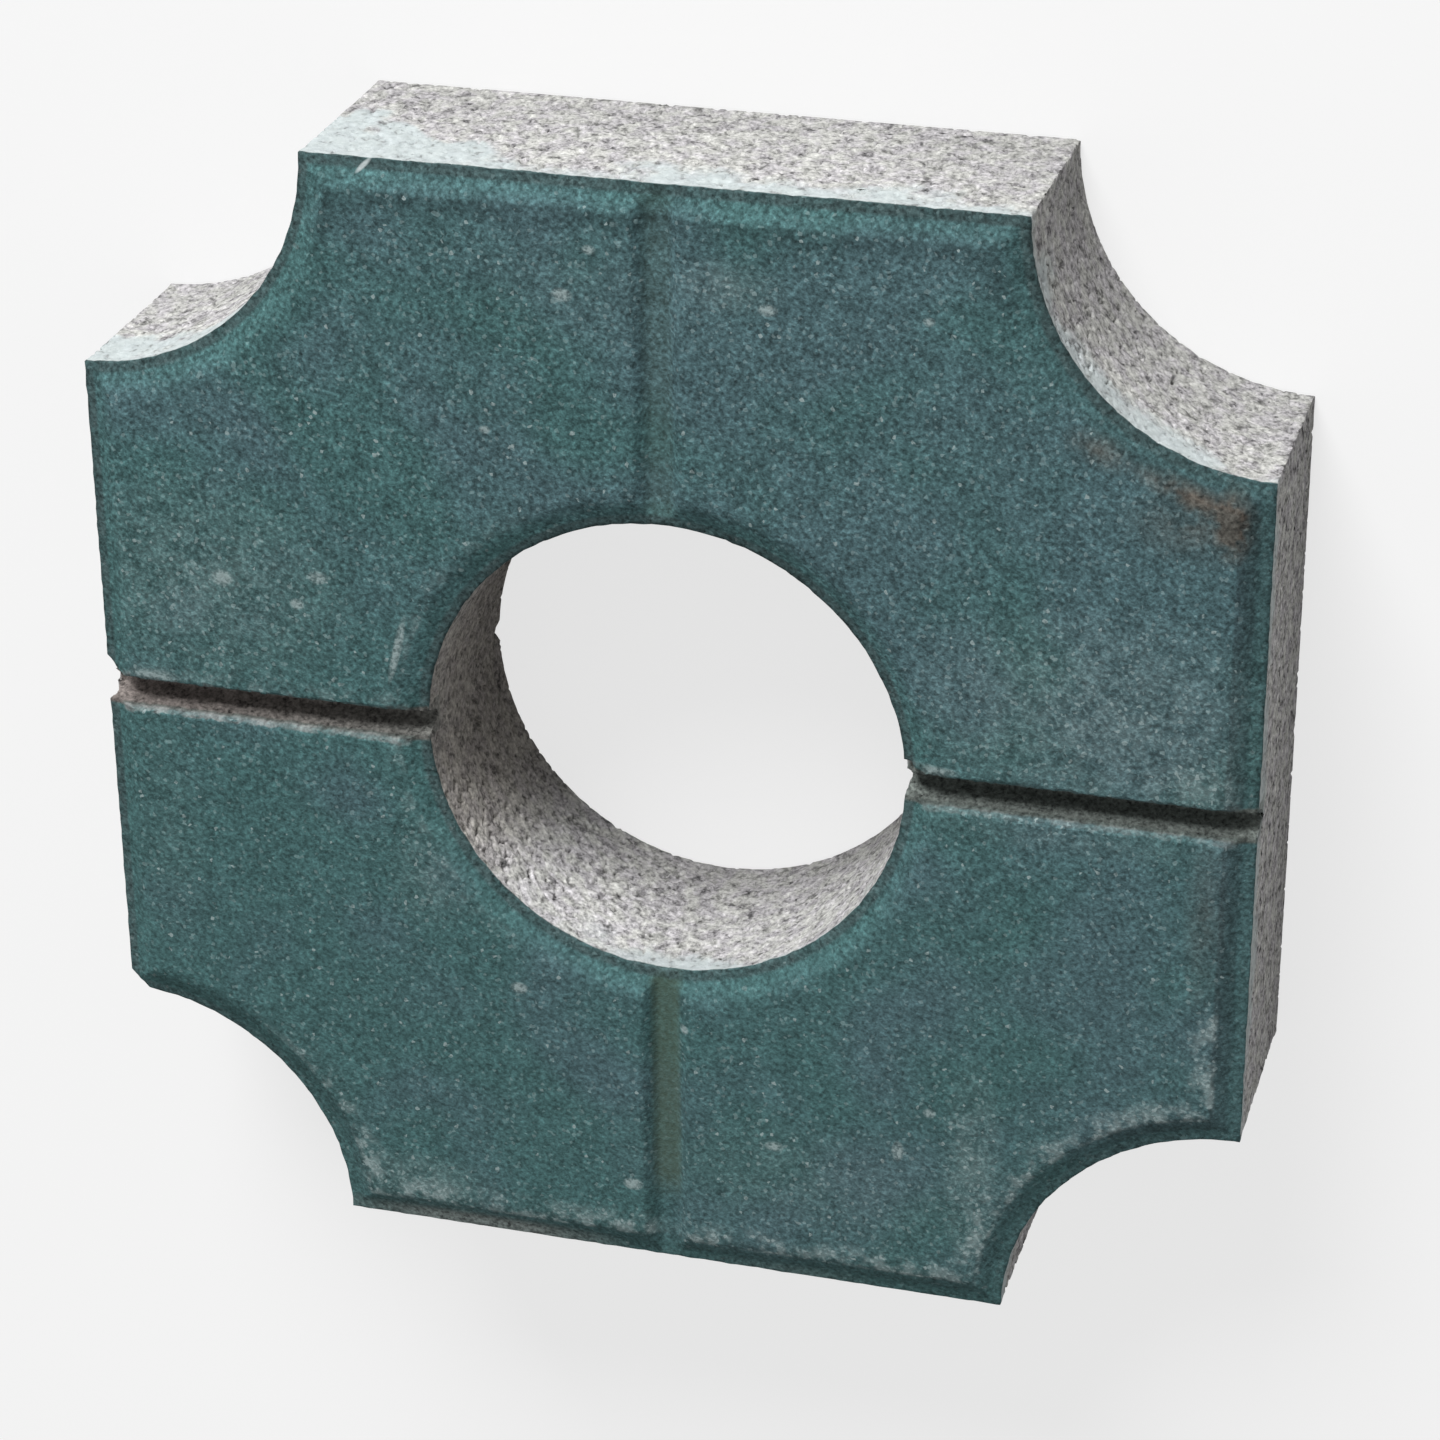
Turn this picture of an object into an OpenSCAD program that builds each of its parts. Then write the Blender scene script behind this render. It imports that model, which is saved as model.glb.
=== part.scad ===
// Square concrete paving stone with four concave quarter-round corners and a round hole for planting.
// Lengths are in millimetres. The stone lies on its bed, face up, with the hole on the Z axis.

/* [Stone] */
// Length of each side, measured across the flat side faces
side = 300; // [240:1:400]
// Height from the bed to the face
thickness = 60; // [40:1:100]
// Radius of the quarter-round recess at each corner
corner_r = 60; // [30:1:80]
// Diameter of the round hole in the middle
hole_d = 124; // [60:1:140]

/* [Edge of the face] */
// Width of the flat ledge that runs round the face above the side walls
ledge_w = 2.7; // [1:0.1:5]
// Width of the slope between the ledge and the face, seen from above
slope_w = 5.3; // [3:0.1:9]
// Drop from the face down to the ledge
edge_drop = 3; // [1:0.5:6]

/* [Dummy joint] */
// Width of the shallow groove at the face
dummy_w = 12; // [8:0.5:20]
// Width of the flat floor of the shallow groove
dummy_floor_w = 5; // [2:0.5:7]
// Depth of the shallow groove below the face
dummy_depth = 3; // [1:0.5:6]

/* [Splitting groove] */
// Width of the deep groove at the face
split_w = 9; // [6:0.5:16]
// Width of the narrow floor of the deep groove
split_floor_w = 2; // [1:0.5:5]
// Depth of the deep groove below the face
split_depth = 10; // [6:0.5:15]

/* [Hidden] */
// Allowance by which a cut runs past the surface that it opens
over = 1;
// Side faces, and corners, of the square
quarters = 4;
$fn = 96;

// Square outline with a quarter-round recess centred on each corner
module outline() {
    difference() {
        square(side, center = true);
        for (i = [0 : quarters - 1])
            rotate(i * 360 / quarters)
                translate([side / 2, side / 2])
                    circle(r = corner_r);
    }
}

// Section of the material missing along an edge: the wall is at x = 0 and the face at y = 0
module edge_section() {
    polygon([
        [-over, -edge_drop],
        [ledge_w, -edge_drop],
        [ledge_w + slope_w * (1 + over / edge_drop), over],
        [-over, over]
    ]);
}

// Section of a groove with sloping walls and a flat floor, with the face at y = 0
module groove_section(face_w, floor_w, depth) {
    wall_run = (face_w - floor_w) / 2 * (1 + over / depth);
    polygon([
        [-floor_w / 2 - wall_run, over],
        [-floor_w / 2, -depth],
        [floor_w / 2, -depth],
        [floor_w / 2 + wall_run, over]
    ]);
}

// Lays a section along X, with its own x towards +Y
module along_x() {
    rotate([90, 0, 90])
        linear_extrude(height = side + 2 * over, center = true)
            children();
}

// Ledge and slope along one side face
module side_edge() {
    translate([0, -side / 2, thickness])
        along_x()
            edge_section();
}

// Ledge and slope around a round wall
module round_edge(wall_r) {
    translate([0, 0, thickness])
        rotate_extrude()
            translate([wall_r, 0])
                edge_section();
}

module paving_stone() {
    color([0.29, 0.40, 0.39])
        difference() {
            linear_extrude(height = thickness)
                outline();
            translate([0, 0, -over])
                cylinder(h = thickness + 2 * over, d = hole_d);
            round_edge(hole_d / 2);
            for (i = [0 : quarters - 1])
                rotate([0, 0, i * 360 / quarters]) {
                    side_edge();
                    translate([side / 2, side / 2, 0])
                        round_edge(corner_r);
                }
            translate([0, 0, thickness])
                rotate([0, 0, 90])
                    along_x()
                        groove_section(dummy_w, dummy_floor_w, dummy_depth);
            translate([0, 0, thickness])
                along_x()
                    groove_section(split_w, split_floor_w, split_depth);
        }
}

paving_stone();
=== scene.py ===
import math

import bpy
import numpy as np
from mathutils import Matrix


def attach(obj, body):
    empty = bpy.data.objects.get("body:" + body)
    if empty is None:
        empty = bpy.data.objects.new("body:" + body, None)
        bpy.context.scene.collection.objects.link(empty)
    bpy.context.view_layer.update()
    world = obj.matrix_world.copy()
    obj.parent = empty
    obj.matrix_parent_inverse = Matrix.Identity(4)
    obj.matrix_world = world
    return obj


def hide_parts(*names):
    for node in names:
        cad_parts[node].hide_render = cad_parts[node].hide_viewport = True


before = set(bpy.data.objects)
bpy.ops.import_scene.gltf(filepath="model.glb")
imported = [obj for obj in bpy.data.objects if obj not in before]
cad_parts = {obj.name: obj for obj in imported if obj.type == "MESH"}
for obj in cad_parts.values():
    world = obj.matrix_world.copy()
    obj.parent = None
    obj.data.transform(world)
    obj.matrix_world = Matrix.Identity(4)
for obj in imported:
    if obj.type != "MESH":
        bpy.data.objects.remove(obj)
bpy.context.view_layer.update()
mm = 0.001
print("frame loaded")


def onlyThis(obj):
    bpy.ops.object.select_all(action="DESELECT")
    obj.select_set(True)
    bpy.context.view_layer.objects.active = obj


def applyAll(obj):
    onlyThis(obj)
    for mod in list(obj.modifiers):
        bpy.ops.object.modifier_apply(modifier=mod.name)


def startPicking(obj, kind):
    # edit mode is entered once so that nothing is left selected
    onlyThis(obj)
    bpy.ops.object.mode_set(mode="EDIT")
    bpy.ops.mesh.select_mode(type=kind)
    bpy.ops.mesh.select_all(action="DESELECT")
    bpy.ops.object.mode_set(mode="OBJECT")


def pickTop(obj, upright=0.9):
    startPicking(obj, "FACE")
    for face in obj.data.polygons:
        face.select = face.normal.z > upright
    bpy.ops.object.mode_set(mode="EDIT")


def cutAway(obj, cutter):
    cut = obj.modifiers.new("cut", "BOOLEAN")
    cut.operation = "DIFFERENCE"
    cut.solver = "EXACT"
    cut.object = cutter
    applyAll(obj)
    bpy.data.objects.remove(cutter, do_unlink=True)


# the stone, all lengths in millimetres
stoneSize = {
    "side": 300, "height": 60, "cornerRadius": 60, "holeRadius": 62,
    "ledge": 2.7, "slope": 5.3, "drop": 3,
    "dummyWidth": 12, "dummyFloor": 5, "dummyDepth": 3,
    "splitWidth": 9, "splitFloor": 2, "splitDepth": 10,
    "over": 1, "drillPast": 20, "groovePast": 2,  # how far cutters run past the stone
    "roundSteps": 256, "voxel": 0.65, "triangles": 190000, "flatness": 80,
}


def addBlock(size):
    arris = size["height"] - size["drop"]
    bpy.ops.mesh.primitive_cube_add(size=1, location=(0, 0, arris / 2 * mm))
    block = bpy.context.object
    block.name = "stone"
    block.scale = (size["side"] * mm, size["side"] * mm, arris * mm)
    bpy.ops.object.transform_apply(location=True, rotation=True, scale=True)
    # ledge, then the slope up to the face
    pickTop(block)
    bpy.ops.mesh.inset(thickness=size["ledge"] * mm, depth=0, use_even_offset=True)
    bpy.ops.mesh.inset(thickness=size["slope"] * mm, depth=size["drop"] * mm, use_even_offset=True)
    bpy.ops.object.mode_set(mode="OBJECT")
    return block


def cutRound(block, size, x, y, radius):
    # straight wall first, then the ledge and slope round it as a cone
    through = size["height"] + 2 * size["drillPast"]
    bpy.ops.mesh.primitive_cylinder_add(vertices=size["roundSteps"], radius=radius * mm, depth=through * mm,
                                        location=(x * mm, y * mm, size["height"] / 2 * mm))
    cutAway(block, bpy.context.object)
    rise = size["drop"] + size["over"]
    foot = radius + size["ledge"]
    head = foot + size["slope"] * rise / size["drop"]
    middle = size["height"] - size["drop"] + rise / 2
    bpy.ops.mesh.primitive_cone_add(vertices=size["roundSteps"], radius1=foot * mm, radius2=head * mm,
                                    depth=rise * mm, location=(x * mm, y * mm, middle * mm))
    cutAway(block, bpy.context.object)


def addGrooveCutter(size, width, floor, depth, alongX):
    tall = depth + size["over"]
    length = size["side"] + 2 * size["groovePast"]
    middle = size["height"] - depth + tall / 2
    bpy.ops.mesh.primitive_cube_add(size=1, location=(0, 0, middle * mm))
    cutter = bpy.context.object
    cutter.scale = (length * mm, floor * mm, tall * mm) if alongX else (floor * mm, length * mm, tall * mm)
    bpy.ops.object.transform_apply(location=True, rotation=True, scale=True)
    pickTop(cutter)
    spread = (floor + (width - floor) * tall / depth) / floor  # opens the walls towards the face
    bpy.ops.transform.resize(value=(1, spread, 1) if alongX else (spread, 1, 1))
    bpy.ops.object.mode_set(mode="OBJECT")
    return cutter


def addBar(place, scale, turn):
    bpy.ops.mesh.primitive_cube_add(size=1, location=(0, 0, 0))
    bar = bpy.context.object
    bar.scale = [length * mm for length in scale]
    bar.rotation_euler = [math.radians(angle) for angle in turn]
    bar.location = [length * mm for length in place]
    bpy.ops.object.transform_apply(location=True, rotation=True, scale=True)
    return bar


# the crumbling splitting groove and its worn lips
splitWear = {
    "cuts": 120, "crumb": 0.35, "seed": 29,
    "longEdge": 100, "stripCuts": 2, "outwards": 0.4,
    "lipCuts": 140, "lipPast": 3,
    # y, z of the middle, width, turn, crumble, seed
    "lips": [(-4.6, 60.5, 1.7, 38, 0.55, 31), (4.5, 60.6, 1.5, 45, 0.5, 37)],
}


def crumble(cutter, wear, cuts, crumb, seed):
    # divides the long edges, then the strips between them, and shakes the points
    startPicking(cutter, "EDGE")
    points = cutter.data.vertices
    for line in cutter.data.edges:
        start, end = [points[i].co for i in line.vertices]
        line.select = abs(start.x - end.x) > wear["longEdge"] * mm
    bpy.ops.object.mode_set(mode="EDIT")
    bpy.ops.mesh.subdivide(number_cuts=cuts)
    bpy.ops.mesh.select_all(action="SELECT")
    bpy.ops.mesh.subdivide(number_cuts=wear["stripCuts"])
    bpy.ops.transform.vertex_random(offset=crumb * mm, uniform=0, normal=wear["outwards"], seed=seed)
    bpy.ops.object.mode_set(mode="OBJECT")


def cutSplit(block, size, wear):
    split = addGrooveCutter(size, size["splitWidth"], size["splitFloor"], size["splitDepth"], True)
    crumble(split, wear, wear["cuts"], wear["crumb"], wear["seed"])
    cutAway(block, split)
    print("stone cut:", len(block.data.polygons), "faces")
    length = size["side"] + 2 * wear["lipPast"]
    for y, z, width, turn, crumb, seed in wear["lips"]:
        lip = addBar((0, y, z), (length, width, width), (turn, 0, 0))
        crumble(lip, wear, wear["lipCuts"], crumb, seed)
        cutAway(block, lip)


# broken corners and chips
stoneDamage = {
    "breakCuts": 9, "breakOutwards": 0.6,
    # x, y, z of the middle, length, width, height, turn, lean, crumble, seed
    "breaks": [
        (-151.2, 4.2, 58.0, 14, 8, 14, -49, -12, 0.4, 41),
        (-150.7, -90.7, 54.0, 14, 8, 15, -45, -10, 0.35, 43),
    ],
    "chipSteps": 3, "chipCrumb": 0.12, "chipOutwards": 0.7,
    # x, y, z of the middle, reach along x, y and z, seed
    "chips": [
        (-60.6, 0.6, -1.2, 3.4, 3.2, 5.5, 8),
        (62.2, 4.4, 59.6, 2.8, 2.6, 5.0, 11),
        (62.4, -5.0, 60.4, 2.4, 2.0, 3.4, 13),
        (-62.2, 4.4, 60.2, 2.2, 2.0, 3.4, 17),
        (150.8, 4.6, 59.4, 2.2, 2.2, 3.6, 19),
        (-150.6, -5.2, 60.2, 2.0, 2.0, 3.0, 23),
    ],
}


def shake(offset, outwards, seed, cuts=0):
    bpy.ops.object.mode_set(mode="EDIT")
    bpy.ops.mesh.select_all(action="SELECT")
    if cuts:
        bpy.ops.mesh.subdivide(number_cuts=cuts)
    bpy.ops.transform.vertex_random(offset=offset, uniform=0, normal=outwards, seed=seed)
    bpy.ops.object.mode_set(mode="OBJECT")


def cutDamage(block, damage):
    for x, y, z, length, width, height, turn, lean, crumb, seed in damage["breaks"]:
        broken = addBar((x, y, z), (length, width, height), (lean, 0, turn))
        shake(crumb * mm, damage["breakOutwards"], seed, damage["breakCuts"])
        cutAway(block, broken)
    for x, y, z, reachX, reachY, reachZ, seed in damage["chips"]:
        bpy.ops.mesh.primitive_ico_sphere_add(subdivisions=damage["chipSteps"], radius=1)
        chip = bpy.context.object
        shake(damage["chipCrumb"], damage["chipOutwards"], seed)
        chip.scale = (reachX * mm, reachY * mm, reachZ * mm)
        chip.location = (x * mm, y * mm, z * mm)
        bpy.ops.object.transform_apply(location=True, rotation=True, scale=True)
        cutAway(block, chip)
    print("lips and chips cut:", len(block.data.polygons), "faces")


def cutStone(size):
    half = size["side"] / 2
    block = addBlock(size)
    for x, y in ((half, half), (-half, half), (-half, -half), (half, -half)):
        cutRound(block, size, x, y, size["cornerRadius"])
    cutRound(block, size, 0, 0, size["holeRadius"])
    cutAway(block, addGrooveCutter(size, size["dummyWidth"], size["dummyFloor"], size["dummyDepth"], False))
    return block


def readCorners(obj):
    flat = np.empty(len(obj.data.vertices) * 3)
    obj.data.vertices.foreach_get("co", flat)
    return flat.reshape(-1, 3) / mm


def easeStep(value, low, high):
    t = np.clip((value - low) / (high - low), 0, 1)
    return t * t * (3 - 2 * t)


def easeOut(value, low, high):
    return 1 - easeStep(value, low, high)


def weighGroup(obj, name, weights, levels=16):
    group = obj.vertex_groups.new(name=name)
    steps = np.rint(np.clip(weights, 0, 1) * levels).astype(int)
    for step in range(1, levels + 1):
        chosen = np.nonzero(steps == step)[0]
        if len(chosen):
            group.add(chosen.tolist(), step / levels, "REPLACE")


def planEdge(p, size):
    # distance in from the outline, seen from above
    half = size["side"] / 2
    ax, ay = np.abs(p[:, 0]), np.abs(p[:, 1])
    corner = np.hypot(half - ax, half - ay) - size["cornerRadius"]
    hole = np.hypot(ax, ay) - size["holeRadius"]
    return np.minimum(np.minimum(half - ax, half - ay), np.minimum(corner, hole))


# wear of the surface: each pair is where a soft step starts and ends, in millimetres
stoneWear = {
    "wallTop": (54.0, 56.4), "bedIn": (1.5, 2.5), "bedSmooth": 0.65, "footRise": (0.5, 4.0), "footRough": 0.3,
    "splitHalf": 7, "splitLow": 40, "offSplit": (7, 10),
    "shoulderBand": (2.0, 4.0), "shoulderRise": (57.6, 58.4),
    "footBand": (0.6, 1.4), "ledgeRise": (55.5, 56.5),
    "dummyBand": (8, 10), "dummyIn": (0.8, 2.0),
    "rimBand": (0.8, 2.2), "browBand": (0.8, 2.6), "browRise": (58.0, 59.2),
    "smoothing": {"soft": 3, "worn": 8}, "smoothShare": 0.5,
    # cloud size, octaves, depth pressed in, where
    "pressed": {
        "swell": (9, 2, 0.25, "rough"), "grain": (1.8, 2, 0.4, "rough"), "pits": (1.5, 1, 1.1, "rough"),
        "rimWear": (3.5, 1, 0.45, "rim"), "browWear": (5, 1, 0.4, "brow"),
    },
    "pitBand": (0.26, 0.4),  # brightness of the clouds
}


def weighSurface(stone, size, wear):
    p = readCorners(stone)
    edge = planEdge(p, size)
    arris = size["height"] - size["drop"]
    ax, ay, z = np.abs(p[:, 0]), np.abs(p[:, 1]), p[:, 2]
    # walls rough, the bed smoother
    rough = easeOut(z, *wear["wallTop"])
    rough = rough * (1 - wear["bedSmooth"] * easeStep(edge, *wear["bedIn"]))
    rough = rough * (wear["footRough"] + (1 - wear["footRough"]) * easeStep(z, *wear["footRise"]))
    soft = 1 - (ay < wear["splitHalf"]) * (z > wear["splitLow"])  # all but the splitting groove
    fromShoulder = np.abs(edge - size["ledge"] - size["slope"])
    shoulder = easeOut(fromShoulder, *wear["shoulderBand"]) * easeStep(z, *wear["shoulderRise"])
    onLedge = easeStep(z, *wear["ledgeRise"])
    foot = easeOut(np.abs(edge - size["ledge"]), *wear["footBand"]) * onLedge
    dummy = easeOut(ax, *wear["dummyBand"]) * onLedge * easeStep(edge, *wear["dummyIn"])
    worn = np.maximum(np.maximum(shoulder, foot), dummy) * easeStep(ay, *wear["offSplit"])
    rim = easeOut(np.abs(z - arris), *wear["rimBand"]) * easeOut(edge, *wear["rimBand"])
    brow = easeOut(fromShoulder, *wear["browBand"]) * easeStep(z, *wear["browRise"])
    for name, weights in (("rough", rough), ("soft", soft), ("worn", worn), ("rim", rim), ("brow", brow)):
        weighGroup(stone, name, weights)


def cloudTexture(name, scale, octaves):
    tex = bpy.data.textures.new(name, "CLOUDS")
    tex.noise_scale = scale * mm
    tex.noise_depth = octaves
    return tex


def keepDarkest(tex, low, high):
    # only the darkest clouds are left, as pits with ragged outlines
    tex.use_color_ramp = True
    tex.color_ramp.interpolation = "EASE"
    dark, light = tex.color_ramp.elements
    dark.position = low
    dark.color = (0, 0, 0, 1)
    light.position = high
    light.color = (1, 1, 1, 1)


def pressIn(obj, name, texture, depth, group):
    # white stays on the surface, black goes in by the depth
    mod = obj.modifiers.new(name, "DISPLACE")
    mod.texture = texture
    mod.texture_coords = "LOCAL"
    mod.direction = "NORMAL"
    mod.mid_level = 1
    mod.strength = depth * mm
    mod.vertex_group = group


def wearSurface(stone, wear):
    for group, passes in wear["smoothing"].items():
        ease = stone.modifiers.new(group, "SMOOTH")
        ease.factor = wear["smoothShare"]
        ease.iterations = passes
        ease.vertex_group = group
    applyAll(stone)
    before = readCorners(stone)
    for name, (scale, octaves, depth, group) in wear["pressed"].items():
        texture = cloudTexture(name, scale, octaves)
        if name == "pits":
            keepDarkest(texture, *wear["pitBand"])
        pressIn(stone, name, texture, depth, group)
    applyAll(stone)
    moved = np.linalg.norm(readCorners(stone) - before, axis=1).astype(np.float32)
    stone.data.attributes.new("pressedIn", "FLOAT", "POINT").data.foreach_set("value", moved)
    print("surface pressed in, deepest %.2f mm" % moved.max())


def thinStone(stone, size):
    half = size["side"] / 2
    thin = stone.modifiers.new("thin", "DECIMATE")
    thin.ratio = size["triangles"] / (2 * len(stone.data.polygons))
    thin.use_collapse_triangulate = True
    applyAll(stone)
    kept = readCorners(stone)
    kept[:, :2] = np.clip(kept[:, :2], -half, half)
    kept[:, 2] = np.clip(kept[:, 2], 0, size["height"])
    stone.data.vertices.foreach_set("co", (kept * mm).ravel())
    stone.data.update()
    onlyThis(stone)
    bpy.ops.object.shade_smooth()
    even = stone.modifiers.new("even", "WEIGHTED_NORMAL")  # large flat faces stay flat beside worn edges
    even.mode = "FACE_AREA"
    even.weight = size["flatness"]
    applyAll(stone)
    print("stone finished:", len(stone.data.polygons), "triangles")


stone = cutStone(stoneSize)
cutSplit(stone, stoneSize, splitWear)
cutDamage(stone, stoneDamage)
onlyThis(stone)
stone.data.remesh_voxel_size = stoneSize["voxel"] * mm
bpy.ops.object.voxel_remesh()
print("remeshed:", len(stone.data.polygons), "faces")
weighSurface(stone, stoneSize, stoneWear)
wearSurface(stone, stoneWear)
thinStone(stone, stoneSize)


def tint(r, g, b):
    # screen colour to scene colour
    def one(v):
        v /= 255
        return v / 12.92 if v <= 0.04045 else ((v + 0.055) / 1.055) ** 2.4
    return (one(r), one(g), one(b), 1)


def put(tree, socket, value):
    if isinstance(value, bpy.types.NodeSocket):
        tree.links.new(value, socket)
    else:
        socket.default_value = value


def calc(tree, operation, a, b=0.0, clamp=False):
    node = tree.nodes.new("ShaderNodeMath")
    node.operation = operation
    node.use_clamp = clamp
    put(tree, node.inputs[0], a)
    put(tree, node.inputs[1], b)
    return node.outputs[0]


def times(tree, first, *others):
    for other in others:
        first = calc(tree, "MULTIPLY", first, other)
    return first


def mulAdd(tree, a, b, c):
    node = tree.nodes.new("ShaderNodeMath")
    node.operation = "MULTIPLY_ADD"
    for socket, value in zip(node.inputs, (a, b, c)):
        put(tree, socket, value)
    return node.outputs[0]


def ramp(tree, value, low, high, toLow=0.0, toHigh=1.0):
    node = tree.nodes.new("ShaderNodeMapRange")
    node.interpolation_type = "SMOOTHSTEP"
    put(tree, node.inputs["Value"], value)
    put(tree, node.inputs["From Min"], low)
    put(tree, node.inputs["From Max"], high)
    put(tree, node.inputs["To Min"], toLow)
    put(tree, node.inputs["To Max"], toHigh)
    return node.outputs["Result"]


def mask(tree, at, zones):
    # soft steps multiplied together: what is measured, from, to, and the values there if not 0 and 1
    return times(tree, *[ramp(tree, at[name], *limits) for name, *limits in zones])


def blend(tree, factor, a, b):
    node = tree.nodes.new("ShaderNodeMix")
    node.data_type = "RGBA"
    put(tree, node.inputs["Factor"], factor)
    put(tree, node.inputs[6], a)
    put(tree, node.inputs[7], b)
    return node.outputs[2]


def shade(tree, colour, factor):
    node = tree.nodes.new("ShaderNodeVectorMath")
    node.operation = "SCALE"
    put(tree, node.inputs[0], colour if isinstance(colour, bpy.types.NodeSocket) else colour[:3])
    put(tree, node.inputs["Scale"], factor)
    return node.outputs[0]


def lighten(tree, colour, amount):
    return shade(tree, colour, calc(tree, "ADD", amount, 1))


def noise(tree, where, scale, detail, rough, offset=None):
    if offset:
        shift = tree.nodes.new("ShaderNodeVectorMath")
        put(tree, shift.inputs[0], where)
        shift.inputs[1].default_value = offset
        where = shift.outputs[0]
    node = tree.nodes.new("ShaderNodeTexNoise")
    put(tree, node.inputs["Vector"], where)
    node.inputs["Scale"].default_value = scale
    node.inputs["Detail"].default_value = detail
    node.inputs["Roughness"].default_value = rough
    return node.outputs["Fac"]


def cells(tree, where, scale):
    # two random values for each grain
    node = tree.nodes.new("ShaderNodeTexVoronoi")
    put(tree, node.inputs["Vector"], where)
    node.inputs["Scale"].default_value = scale
    split = tree.nodes.new("ShaderNodeSeparateColor")
    tree.links.new(node.outputs["Color"], split.inputs[0])
    return split.outputs[0], split.outputs[1]


def spots(tree, where, marks, tall=6):
    # soft marks added up: x, y, z, turn, half length, half width, strength
    total = 0.0
    for x, y, z, turn, along, across, strength in marks:
        if turn:
            node = tree.nodes.new("ShaderNodeMapping")
            node.vector_type = "TEXTURE"
            node.inputs["Location"].default_value = (x, y, z)
            node.inputs["Rotation"].default_value = (0, 0, math.radians(turn))
            node.inputs["Scale"].default_value = (along, across, tall)
        else:  # vector math is quicker where nothing turns
            node = tree.nodes.new("ShaderNodeVectorMath")
            node.operation = "MULTIPLY_ADD"
            node.inputs[1].default_value = (1 / along, 1 / across, 1 / tall)
            node.inputs[2].default_value = (-x / along, -y / across, -z / tall)
        put(tree, node.inputs[0], where)
        ball = tree.nodes.new("ShaderNodeTexGradient")
        ball.gradient_type = "SPHERICAL"
        tree.links.new(node.outputs[0], ball.inputs[0])
        total = mulAdd(tree, ball.outputs["Fac"], strength, total)
    return total


def hypot(tree, a, b):
    return calc(tree, "SQRT", mulAdd(tree, a, a, calc(tree, "MULTIPLY", b, b)))


def measure(tree, size):
    # place on the stone in millimetres, and distance in from the outline and the hole, seen from above
    place = tree.nodes.new("ShaderNodeTexCoord")
    where = shade(tree, place.outputs["Object"], 1 / mm)
    axes = tree.nodes.new("ShaderNodeSeparateXYZ")
    tree.links.new(where, axes.inputs[0])
    x, y, z = axes.outputs
    ax, ay = calc(tree, "ABSOLUTE", x), calc(tree, "ABSOLUTE", y)
    half = size["side"] / 2
    fromX, fromY = calc(tree, "SUBTRACT", half, ax), calc(tree, "SUBTRACT", half, ay)
    corner = calc(tree, "SUBTRACT", hypot(tree, fromX, fromY), size["cornerRadius"])
    hole = calc(tree, "SUBTRACT", hypot(tree, x, y), size["holeRadius"])
    sides = calc(tree, "MINIMUM", fromX, fromY)
    edge = calc(tree, "MINIMUM", sides, calc(tree, "MINIMUM", corner, hole))
    return {"where": where, "x": x, "y": y, "z": z, "ax": ax, "ay": ay, "hole": hole, "edge": edge,
            "diagonal": calc(tree, "ADD", x, y)}


# grain of the concrete: spots per millimetre, detail, roughness, offset
grainLook = {
    "turn": (0.5, 0.35, 0.6),  # off the axes, so that no wall runs along the pattern
    "grit": (0.85, 2, 0.65), "sand": (0.34, 2, 0.6, (17, 3, 41)), "blotch": (0.2, 2, 0.6, (31, 7, 3)),
    "patch": (0.028, 1, 0.55, (5, 50, 9)), "drift": (0.05, 1, 0.6, (12, 80, 40)),
    "cells": 1.15,
    "gritTone": 2.6, "blotchTone": 0.9, "darker": -0.75, "cellTone": 0.5,
    "patchy": [("blotch", 0.36, 0.62)],
}


def addGrain(tree, at, look):
    turned = tree.nodes.new("ShaderNodeMapping")
    turned.inputs["Rotation"].default_value = look["turn"]
    tree.links.new(at["where"], turned.inputs["Vector"])
    for name in ("grit", "sand", "blotch"):
        at[name] = noise(tree, turned.outputs[0], *look[name])
    for name in ("patch", "drift"):
        at[name] = noise(tree, at["where"], *look[name])
    at["grain"], at["other"] = cells(tree, turned.outputs[0], look["cells"])
    tone = mulAdd(tree, at["blotch"], look["blotchTone"], look["darker"])
    tone = mulAdd(tree, at["grit"], look["gritTone"], tone)
    at["tone"] = mulAdd(tree, calc(tree, "SUBTRACT", at["grain"], 0.5), look["cellTone"], tone)
    at["patchy"] = mask(tree, at, look["patchy"])


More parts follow.
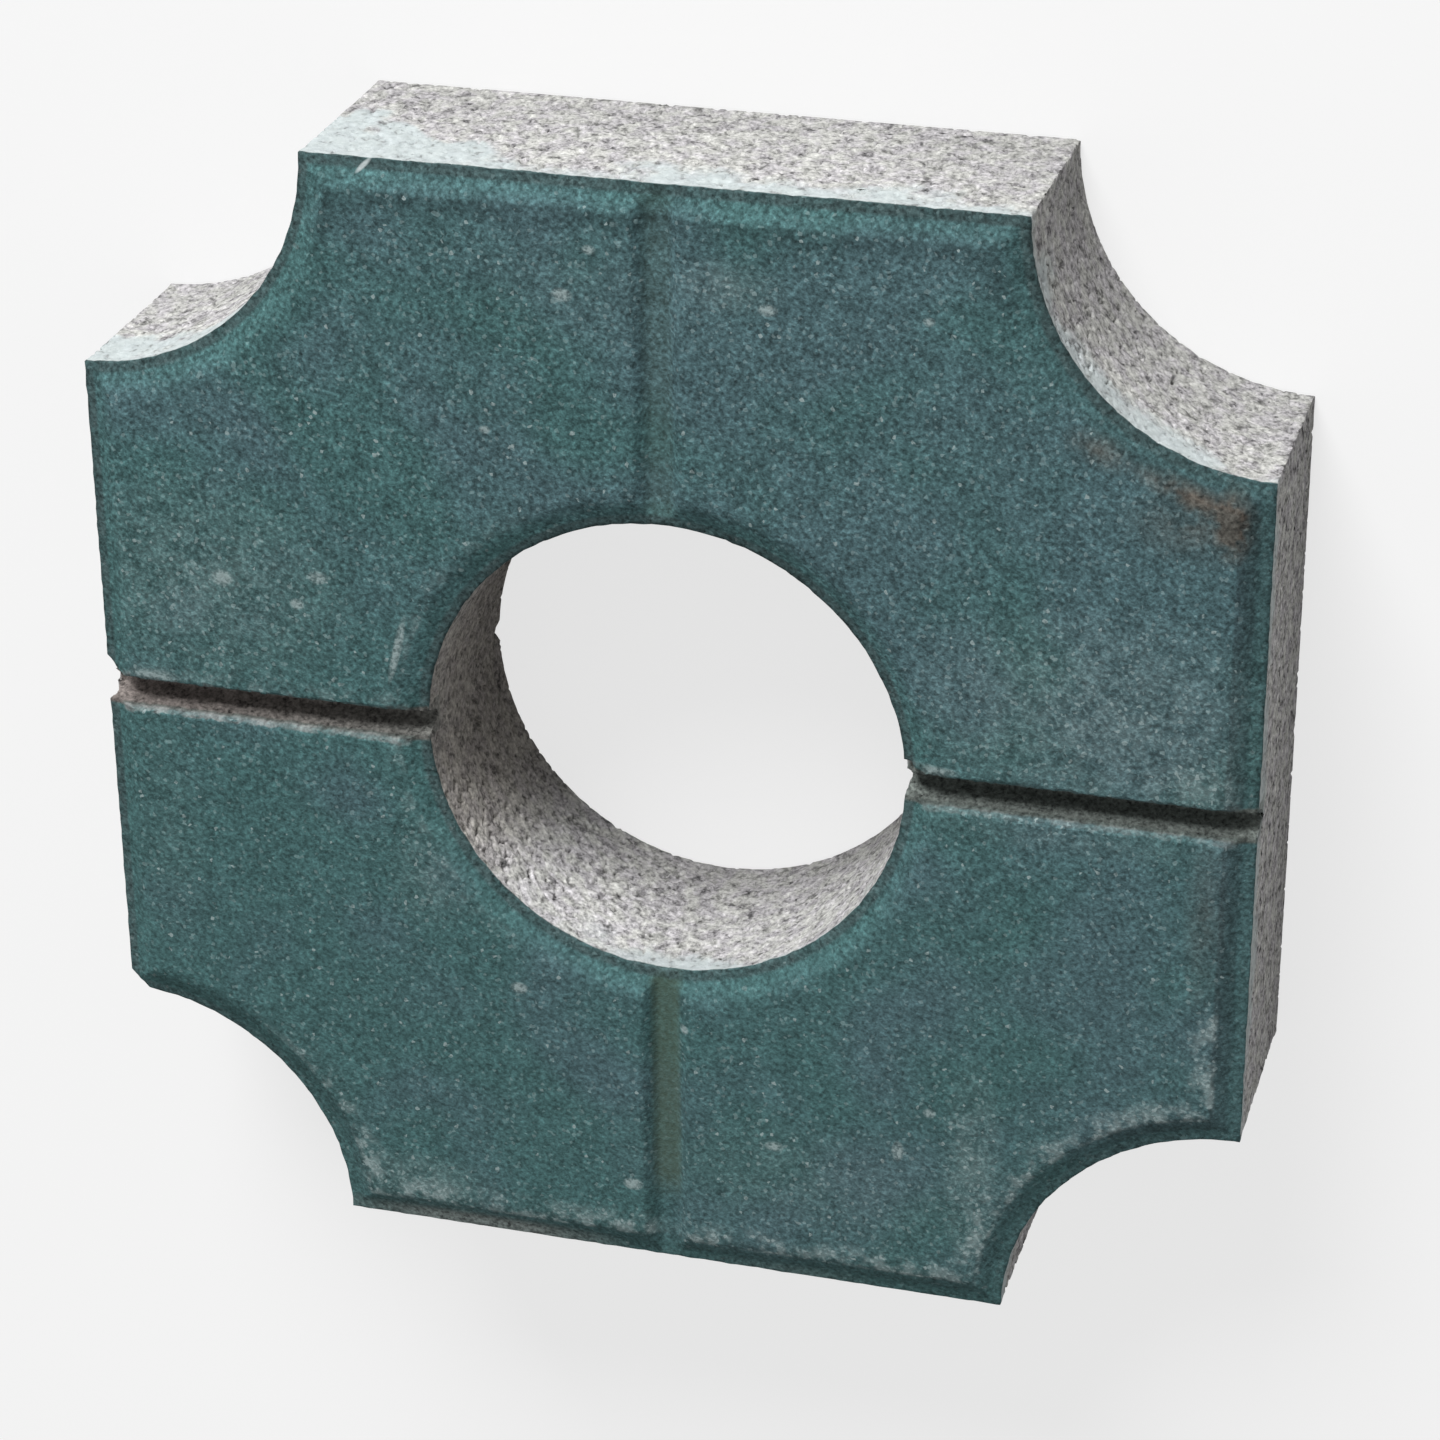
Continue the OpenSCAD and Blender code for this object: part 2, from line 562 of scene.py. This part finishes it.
# green facing, with dirt on its ledge, and dirt and painted shade on its lower and right slopes
facingLook = {
    "green": tint(62, 94, 94), "blue": tint(71, 95, 100),
    "ledgeDirt": tint(62, 79, 80), "slopeDirtAndShade": tint(44, 50, 55), "ledgeKhaki": tint(110, 119, 117),
    "olive": tint(78, 92, 76), "rust": tint(79, 67, 57), "rustCover": 0.75,
    "leanX": 0.0008, "leanY": 0.0006,  # bluer up and to the right
    "blueness": [("lean", 0.34, 0.7, 0.1, 0.9), ("edge", 4, 9, 0.45, 1)],
    "speckle": [("y", -90, 60, 0.21, 0.27)], "specklePower": 4,
    "dummy": [("ax", 5.5, 2.0), ("z", 59.0, 57.8)],
    "dummyStain": [("y", 40, -50, 0.15, 0.55), ("y", -134, -122)],
    # painted shade on the dummy groove's left wall, which faces away from the key lamp
    "dummyPaintedShade": [("x", -2.0, -3.4), ("x", -6.6, -5.2), ("y", 60, -60, 0, -0.1)],
    "ledge": [
        ("edge", 3.4, 2.2), ("blotch", 0.3, 0.6, 0.5, 0.9),
        ("y", -130, -70, 0.3, 1), ("x", 150, 110, 0.3, 1),
    ],
    "rimLine": [("edge", 1.5, 0.5), ("y", -60, 10, 0, -0.22)],
    # dirt and painted shade: the lower and right slopes, which face away from the key lamp, are made darker
    # and greyer
    "slope": [("edge", 8.6, 7.6), ("edge", 2.2, 4.6)],
    "slopeLow": [("y", -92, -130, 0, 0.2)], "slopeRight": [("x", 95, 135, 0, 0.42)],
    "topRight": [("edge", 9, 6), ("diagonal", 170, 210, 0, -0.14)],
    "topBand": [("edge", 14, 8.4), ("edge", 6.8, 8), ("y", 118, 136, 0, -0.34)],  # dull behind the top edge
    "holeSlopePaintedLight": [("hole", 8.6, 7), ("hole", 2, 3.5), ("y", 0, 45, 0.06, 0.2)],  # painted light on the upper slope round the hole, which the key lamp leaves in shade
    # grey-brown stains on the lower ledge
    "khakiMarks": [(-52, -148.5, 57, 0, 44, 7, 1.8), (34, -149, 57, 0, 26, 4, 0.3)],
    "khakiIn": [("edge", 7.6, 2.8, 0, 0.85)],
    "rustMarks": [
        (140.5, 80, 60, 0, 5.5, 12, 1.5), (129, 86, 60, -22, 17, 4, 1.1), (108, 95, 60, -25, 10, 5, 0.8),
        (132, 78, 60, 0, 20, 11, 0.6), (138.5, -26, 60, 0, 6, 28, 0.45),
    ],
    "rustGrain": [("blotch", 0.3, 0.6, 0.4, 1.0)],
}


def colourFacing(tree, at, look):
    tone = at["tone"]
    lean = mulAdd(tree, at["y"], look["leanY"], at["patch"])
    at["lean"] = mulAdd(tree, at["x"], look["leanX"], lean)
    facing = blend(tree, mask(tree, at, look["blueness"]), look["green"], look["blue"])
    speckle = mulAdd(tree, calc(tree, "SUBTRACT", tone, 1), mask(tree, at, look["speckle"]), 1)
    speckle = calc(tree, "POWER", speckle, look["specklePower"])  # few pale grains, many dull ones
    facing = shade(tree, facing, speckle)
    at["dummy"] = mask(tree, at, look["dummy"])
    stain = times(tree, at["dummy"], mask(tree, at, look["dummyStain"]))
    facing = blend(tree, stain, facing, look["olive"])
    # painted shade on the left wall of the dummy groove
    facing = lighten(tree, facing, mask(tree, at, look["dummyPaintedShade"]))
    facing = blend(tree, mask(tree, at, look["ledge"]), facing, shade(tree, look["ledgeDirt"], tone))
    facing = lighten(tree, facing, mask(tree, at, look["rimLine"]))
    # dirt and painted shade on the lower and right slopes
    dirtAndShade = calc(tree, "MAXIMUM", mask(tree, at, look["slopeLow"]), mask(tree, at, look["slopeRight"]))
    dirtAndShade = times(tree, dirtAndShade, mask(tree, at, look["slope"]))
    facing = blend(tree, dirtAndShade, facing, shade(tree, look["slopeDirtAndShade"], tone))
    # the last of these is painted light on the upper slope round the hole
    for name in ("topRight", "topBand", "holeSlopePaintedLight"):
        facing = lighten(tree, facing, mask(tree, at, look[name]))
    khaki = spots(tree, at["where"], look["khakiMarks"])
    khaki = calc(tree, "MULTIPLY", khaki, mask(tree, at, look["khakiIn"]), True)
    return blend(tree, khaki, facing, shade(tree, look["ledgeKhaki"], tone))


def addRust(tree, at, look, facing):
    rust = spots(tree, at["where"], look["rustMarks"])
    rust = calc(tree, "MULTIPLY", rust, mask(tree, at, look["rustGrain"]), True)
    rust = times(tree, rust, look["rustCover"])
    return blend(tree, rust, facing, shade(tree, look["rust"], at["tone"]))


# lime that bloomed on the facing: hazes, marks and pale grains
limeLook = {
    "colour": tint(150, 165, 165), "cover": 0.75,
    "hazes": [
        (-12, 122, 60, 0, 40, 18, 0.1), (-120, 34, 60, 0, 44, 34, 0.42), (112, 26, 60, 0, 54, 32, 0.5),
        (-134, -40, 60, 0, 12, 44, 0.12), (40, -118, 60, 0, 60, 20, 0.2), (105, -8, 60, 0, 52, 6, 0.25),
        (19, 127, 60, 0, 15, 8, 0.5), (136, 10, 60, 0, 17, 10, 0.6), (-70, -136, 60, 0, 26, 10, 0.6),
        (82, -106, 60, 0, 9, 34, 0.6), (-62, -42, 60, 0, 13, 18, 0.35),
    ],
    "marks": [
        (-115, 36, 60, 0, 3.4, 2.5, 1.7), (-89, 39, 60, 0, 3.0, 2.2, 1.2), (-95, 31, 60, 0, 2.2, 1.7, 1.7),
        (-23, 121, 60, 0, 3.0, 2.0, 1.8), (-16, 133, 60, 0, 2.0, 1.4, 1.5), (-43.5, 84, 60, 0, 1.7, 1.3, 1.5),
        (67, 123, 60, 0, 1.7, 1.3, 1.5), (28, 122, 60, 0, 2.8, 1.8, 1.5), (-68.8, 21.5, 59, 76, 11, 1.3, 1.8),
        (-136, 6.0, 60, 0, 8, 2.0, 1.2), (69, 5.8, 60, 0, 8, 1.8, 1.4), (-39, -72, 60, 0, 2.6, 1.9, 2.0),
        (5.2, -78, 60, 0, 1.6, 1.6, 1.9), (70.5, -92.3, 60, 0, 1.9, 1.6, 1.6),
        (62.4, -105, 60, 0, 1.8, 3.4, 1.5), (29.5, -109, 60, 0, 3.0, 1.7, 1.4),
        (-9, -127, 60, 0, 3.0, 2.0, 2.8),
    ],
    # strip just inside the edge, and where it shows
    "strip": [
        ("edge", 16, 8), ("edge", 6.5, 7.6),
        ("blotch", 0.42, 0.62, 0.15, 1.25), ("x", -112, -84, 0.2, 1),
    ],
    "stripLow": [("y", -84, -100)],
    "stripRight": [("x", 98, 116), ("y", -40, -62)],
    "stripHole": [("hole", 14, 6), ("x", -20, -60, 0, 0.35)],
    "crumbs": [("y", 10, 6), ("y", 4, 5.5), ("x", -60, 60, 0.4, 0)],  # above the splitting groove
    "hazeGrit": [("grit", 0.5, 0.66, 0, 0.6)], "hazePatchy": 0.35, "hazeEven": 0.1,
    "paleGrains": [("grain", 0.92, 0.99)], "grainsInHaze": 0.6, "grainsClear": 0.32,
    "flecks": [("other", 0.994, 0.997), ("grit", 0.4, 0.55, 0.5, 1.1)],
    "markGrit": [("grit", 0.38, 0.6, 0.35, 1.3)],
    "offEdge": [("edge", 5, 8, 0.35, 1)], "offDummy": -0.85,
}


def addLime(tree, at, look, facing):
    haze = spots(tree, at["where"], look["hazes"])
    shown = calc(tree, "MAXIMUM", mask(tree, at, look["stripLow"]), mask(tree, at, look["stripRight"]))
    shown = calc(tree, "MAXIMUM", shown, mask(tree, at, look["stripHole"]))
    haze = mulAdd(tree, mask(tree, at, look["strip"]), shown, haze)
    haze = mulAdd(tree, mask(tree, at, look["crumbs"]), at["patchy"], haze)
    broken = mulAdd(tree, at["patchy"], look["hazePatchy"], look["hazeEven"])
    pale = times(tree, haze, calc(tree, "ADD", mask(tree, at, look["hazeGrit"]), broken))
    share = mulAdd(tree, haze, look["grainsInHaze"], look["grainsClear"])
    pale = mulAdd(tree, mask(tree, at, look["paleGrains"]), share, pale)
    pale = calc(tree, "ADD", mask(tree, at, look["flecks"]), pale)
    marks = spots(tree, at["where"], look["marks"])
    pale = mulAdd(tree, marks, mask(tree, at, look["markGrit"]), pale)
    pale = times(tree, calc(tree, "MINIMUM", pale, 1), mask(tree, at, look["offEdge"]))
    pale = times(tree, pale, mulAdd(tree, at["dummy"], look["offDummy"], 1), look["cover"])
    return blend(tree, pale, facing, look["colour"])


# grey body with pits, and the pale slurry that ran down it from the face
bodyLook = {
    "grey": tint(156, 154, 156), "khaki": tint(151, 151, 148),
    "smear": tint(169, 178, 179), "holeDirt": tint(134, 127, 119),
    # painted shade: pits and pressed-in hollows are made darker, the deeper ones most
    "pit": [("sand", 0.41, 0.3)], "deep": [("pressed", 0.6, 1.4)], "pitShade": (-0.42, 1.05),
    # more contrast on the right side
    "sandTone": [("x", 148, 149.5, 1.7, 2.6)], "darker": [("x", 148, 149.5, -0.65, -1.1)], "fineTone": 0.85,
    # painted shade: walls darker towards the bed and towards the top right corner
    "wallPaintedShade": [("diagonal", 170, 240, 1, 0.92), ("z", 0, 50, 0.88, 1.05)],
    # painted light: the lower left wall of the hole, which the lamps leave too dark, is made lighter
    "holeLowPaintedLight": [("hole", 4, 1), ("y", -12, -40, 0, 0.3), ("x", 0, -30)],
    "holeLeft": [("hole", 4, 1), ("x", -38, -60, 0, 0.6)],
    # how far the slurry ran down
    "reach": [("drift", 0.32, 0.7, 0, 20), ("x", -20, -80, 0.6, 1.4)],
    "reachTop": [("y", 110, 140), ("x", -40, -78, 4, 16)],
    "sandReach": 9, "smearFade": (0.5, 10), "smearTone": (0.5, 0.76),
    "smearCover": 0.9, "smearPits": (-0.5, 0.9), "smearInHole": [("hole", 4, 1), ("x", 0, -36, 0, -0.85)],
}


def colourBody(tree, at, look, arris):
    sand = at["sand"]
    attribute = tree.nodes.new("ShaderNodeAttribute")
    attribute.attribute_name = "pressedIn"
    at["pressed"] = attribute.outputs["Fac"]
    # painted shade in the pits and in the pressed-in hollows
    pits = calc(tree, "MAXIMUM", mask(tree, at, look["pit"]), mask(tree, at, look["deep"]))
    tone = mulAdd(tree, at["tone"], look["fineTone"], mask(tree, at, look["darker"]))
    tone = mulAdd(tree, sand, mask(tree, at, look["sandTone"]), tone)
    tone = times(tree, tone, mulAdd(tree, pits, *look["pitShade"]), mask(tree, at, look["wallPaintedShade"]))
    # painted light on the lower left wall of the hole
    tone = mulAdd(tree, tone, mask(tree, at, look["holeLowPaintedLight"]), tone)
    body = shade(tree, blend(tree, at["patchy"], look["grey"], look["khaki"]), tone)
    body = blend(tree, mask(tree, at, look["holeLeft"]), body, shade(tree, look["holeDirt"], tone))
    reach = calc(tree, "ADD", mask(tree, at, look["reachTop"]), mask(tree, at, look["reach"]))
    run = calc(tree, "ADD", at["z"], mulAdd(tree, sand, look["sandReach"], reach))
    smear = ramp(tree, run, *[arris + rise for rise in look["smearFade"]])
    cover = calc(tree, "ADD", mask(tree, at, look["smearInHole"]), look["smearCover"])
    # the slurry thins over the pits, so their painted shade shows through
    smear = times(tree, smear, cover, mulAdd(tree, pits, *look["smearPits"]))
    return blend(tree, smear, body, shade(tree, look["smear"], mulAdd(tree, sand, *look["smearTone"])))


# inside of the splitting groove, and its chalky lips
grooveLook = {
    "brown": tint(99, 93, 90), "grey": tint(72, 82, 79), "chalk": tint(140, 140, 139),
    "inside": [("ay", 5.2, 4.2), ("z", 59.4, 58.2), ("z", 46, 49), ("edge", -0.6, 0.8)],
    "brownness": [("x", 0, -150, 0.25, 1), ("z", 58.6, 57)],
    # darker near the lips and lighter deeper down: partly the grey body concrete inside, partly painted light
    # in the upper lip's shadow and painted shade on the lit top of the wall
    "grooveLightAndShade": [("z", 58.5, 54, 0.78, 1.75)],
    "lip": [
        ("ay", 6.4, 5.2), ("z", 59.9, 59.5), ("z", 57.8, 58.6), ("blotch", 0.3, 0.64, 0.3, 1),
        ("ax", 150, 147), ("x", -140, 40, 0.62, 0.25), ("y", -2, 2, 1, 0.6),
    ],
    "chalkTone": (0.6, 0.4),
}


def colourGroove(tree, at, look, base):
    groove = blend(tree, mask(tree, at, look["brownness"]), look["grey"], look["brown"])
    # painted light and shade down the groove wall, partly the grey body concrete
    groove = shade(tree, shade(tree, groove, at["tone"]), mask(tree, at, look["grooveLightAndShade"]))
    base = blend(tree, mask(tree, at, look["inside"]), base, groove)
    chalk = shade(tree, look["chalk"], mulAdd(tree, at["tone"], *look["chalkTone"]))
    return blend(tree, mask(tree, at, look["lip"]), base, chalk)


concreteLook = {
    "facingWave": 1.6, "facingLine": (-0.5, 0.1),  # where the facing starts, beside the arris
    "scratch": [(-73, 148, 57, 45, 3.0, 0.75, 2.0)], "scratchCover": 0.9,
    "roughness": 0.92, "specular": 0.18, "bump": 0.25,
}


def makeConcrete(look, size):
    mat = bpy.data.materials.new("concrete")
    mat.use_nodes = True
    tree = mat.node_tree
    shader = tree.nodes["Principled BSDF"]
    arris = size["height"] - size["drop"]
    at = measure(tree, size)
    addGrain(tree, at, grainLook)
    facing = colourFacing(tree, at, facingLook)
    facing = addLime(tree, at, limeLook, facing)
    facing = addRust(tree, at, facingLook, facing)
    body = colourBody(tree, at, bodyLook, arris)
    line = mulAdd(tree, at["blotch"], look["facingWave"], at["z"])
    line = ramp(tree, line, *[arris + rise for rise in look["facingLine"]])
    base = blend(tree, line, body, facing)
    scratch = calc(tree, "MULTIPLY", spots(tree, at["where"], look["scratch"]), look["scratchCover"], True)
    base = blend(tree, scratch, base, bodyLook["smear"])
    base = colourGroove(tree, at, grooveLook, base)
    tree.links.new(base, shader.inputs["Base Color"])
    shader.inputs["Roughness"].default_value = look["roughness"]
    shader.inputs["Specular IOR Level"].default_value = look["specular"]
    bump = tree.nodes.new("ShaderNodeBump")
    bump.inputs["Strength"].default_value = 1
    bump.inputs["Distance"].default_value = look["bump"] * mm
    tree.links.new(at["grit"], bump.inputs["Height"])
    tree.links.new(bump.outputs["Normal"], shader.inputs["Normal"])
    return mat


stone.data.materials.clear()
stone.data.materials.append(makeConcrete(concreteLook, stoneSize))
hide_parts("paving_stone")
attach(stone, "root")
print("concrete made")


def seenDirectly(tree):
    # 1 for what the camera sees, also in gloss or through glass
    path = tree.nodes.new("ShaderNodeLightPath")
    mirrored = calc(tree, "MAXIMUM", path.outputs["Is Glossy Ray"], path.outputs["Is Transmission Ray"])
    return calc(tree, "MAXIMUM", path.outputs["Is Camera Ray"], mirrored)


def addShader(tree, kind, colour):
    node = tree.nodes.new(kind)
    node.inputs["Color"].default_value = colour
    return node.outputs[0]


def mixShaders(tree, factor, a, b):
    node = tree.nodes.new("ShaderNodeMixShader")
    for socket, value in zip(node.inputs, (factor, a, b)):
        put(tree, socket, value)
    return node.outputs[0]


floorLook = {
    "half": 6, "below": 0.2, "shadow": 0.22,
    "shown": tint(246, 246, 246), "bounce": tint(188, 187, 185),
}


def makeFloor(look):
    bpy.ops.object.select_all(action="DESELECT")
    bpy.ops.mesh.primitive_plane_add(size=look["half"] * 2, location=(0, 0, 0))
    floor = bpy.context.object
    floor.name = "floor"
    floor.location.z = -look["below"] * mm
    bpy.ops.object.transform_apply(location=True, rotation=True, scale=True)
    mat = bpy.data.materials.new("floorPale")
    mat.use_nodes = True
    tree = mat.node_tree
    tree.nodes.remove(tree.nodes["Principled BSDF"])
    bounce = addShader(tree, "ShaderNodeBsdfDiffuse", look["bounce"])
    pale = addShader(tree, "ShaderNodeBsdfDiffuse", look["shown"])
    glow = addShader(tree, "ShaderNodeEmission", look["shown"])
    soft = mixShaders(tree, look["shadow"], glow, pale)
    both = mixShaders(tree, seenDirectly(tree), bounce, soft)
    tree.links.new(both, tree.nodes["Material Output"].inputs["Surface"])
    floor.data.materials.append(mat)


makeFloor(floorLook)

# lamps: place, size, power
lightLook = {
    "ambient": 0.335, "backdrop": 0.95,
    "key": ((-0.85, 3.52, 1.7), 2.0, 236),
    "fill": ((2.9, -0.3, 0.5), 0.9, 7.5),
}


def addLamp(name, place, size, power):
    bpy.ops.object.light_add(type="AREA", location=place)
    lamp = bpy.context.object
    lamp.name = name
    lamp.data.shape = "DISK"
    lamp.data.size = size
    lamp.data.energy = power
    px, py, pz = place
    lamp.rotation_euler = (math.atan2(math.hypot(px, py), pz), 0, math.atan2(py, px) + math.pi / 2)
    lamp.visible_camera = False


def makeLight(look):
    scene = bpy.context.scene
    world = bpy.data.worlds.new("studio")
    scene.world = world
    world.use_nodes = True
    tree = world.node_tree
    back = tree.nodes["Background"]
    back.inputs["Color"].default_value = (1, 1, 1, 1)
    strength = ramp(tree, seenDirectly(tree), 0, 1, look["ambient"], look["backdrop"])
    put(tree, back.inputs["Strength"], strength)
    for name in ("key", "fill"):
        addLamp(name, *look[name])
    scene.view_settings.view_transform = "Standard"


makeLight(lightLook)

cameraLook = {
    "place": (0.27556, 0.48200, 0.96418), "turn": (-0.46434, 0.27689, -0.00625),
    "lens": 106.23, "sensor": 36,
}


def makeCamera(look):
    bpy.ops.object.camera_add(location=look["place"], rotation=look["turn"])
    cam = bpy.context.object
    cam.name = "camera"
    cam.data.lens = look["lens"]
    cam.data.sensor_width = look["sensor"]
    bpy.context.scene.camera = cam


makeCamera(cameraLook)
print("floor, light and camera set")
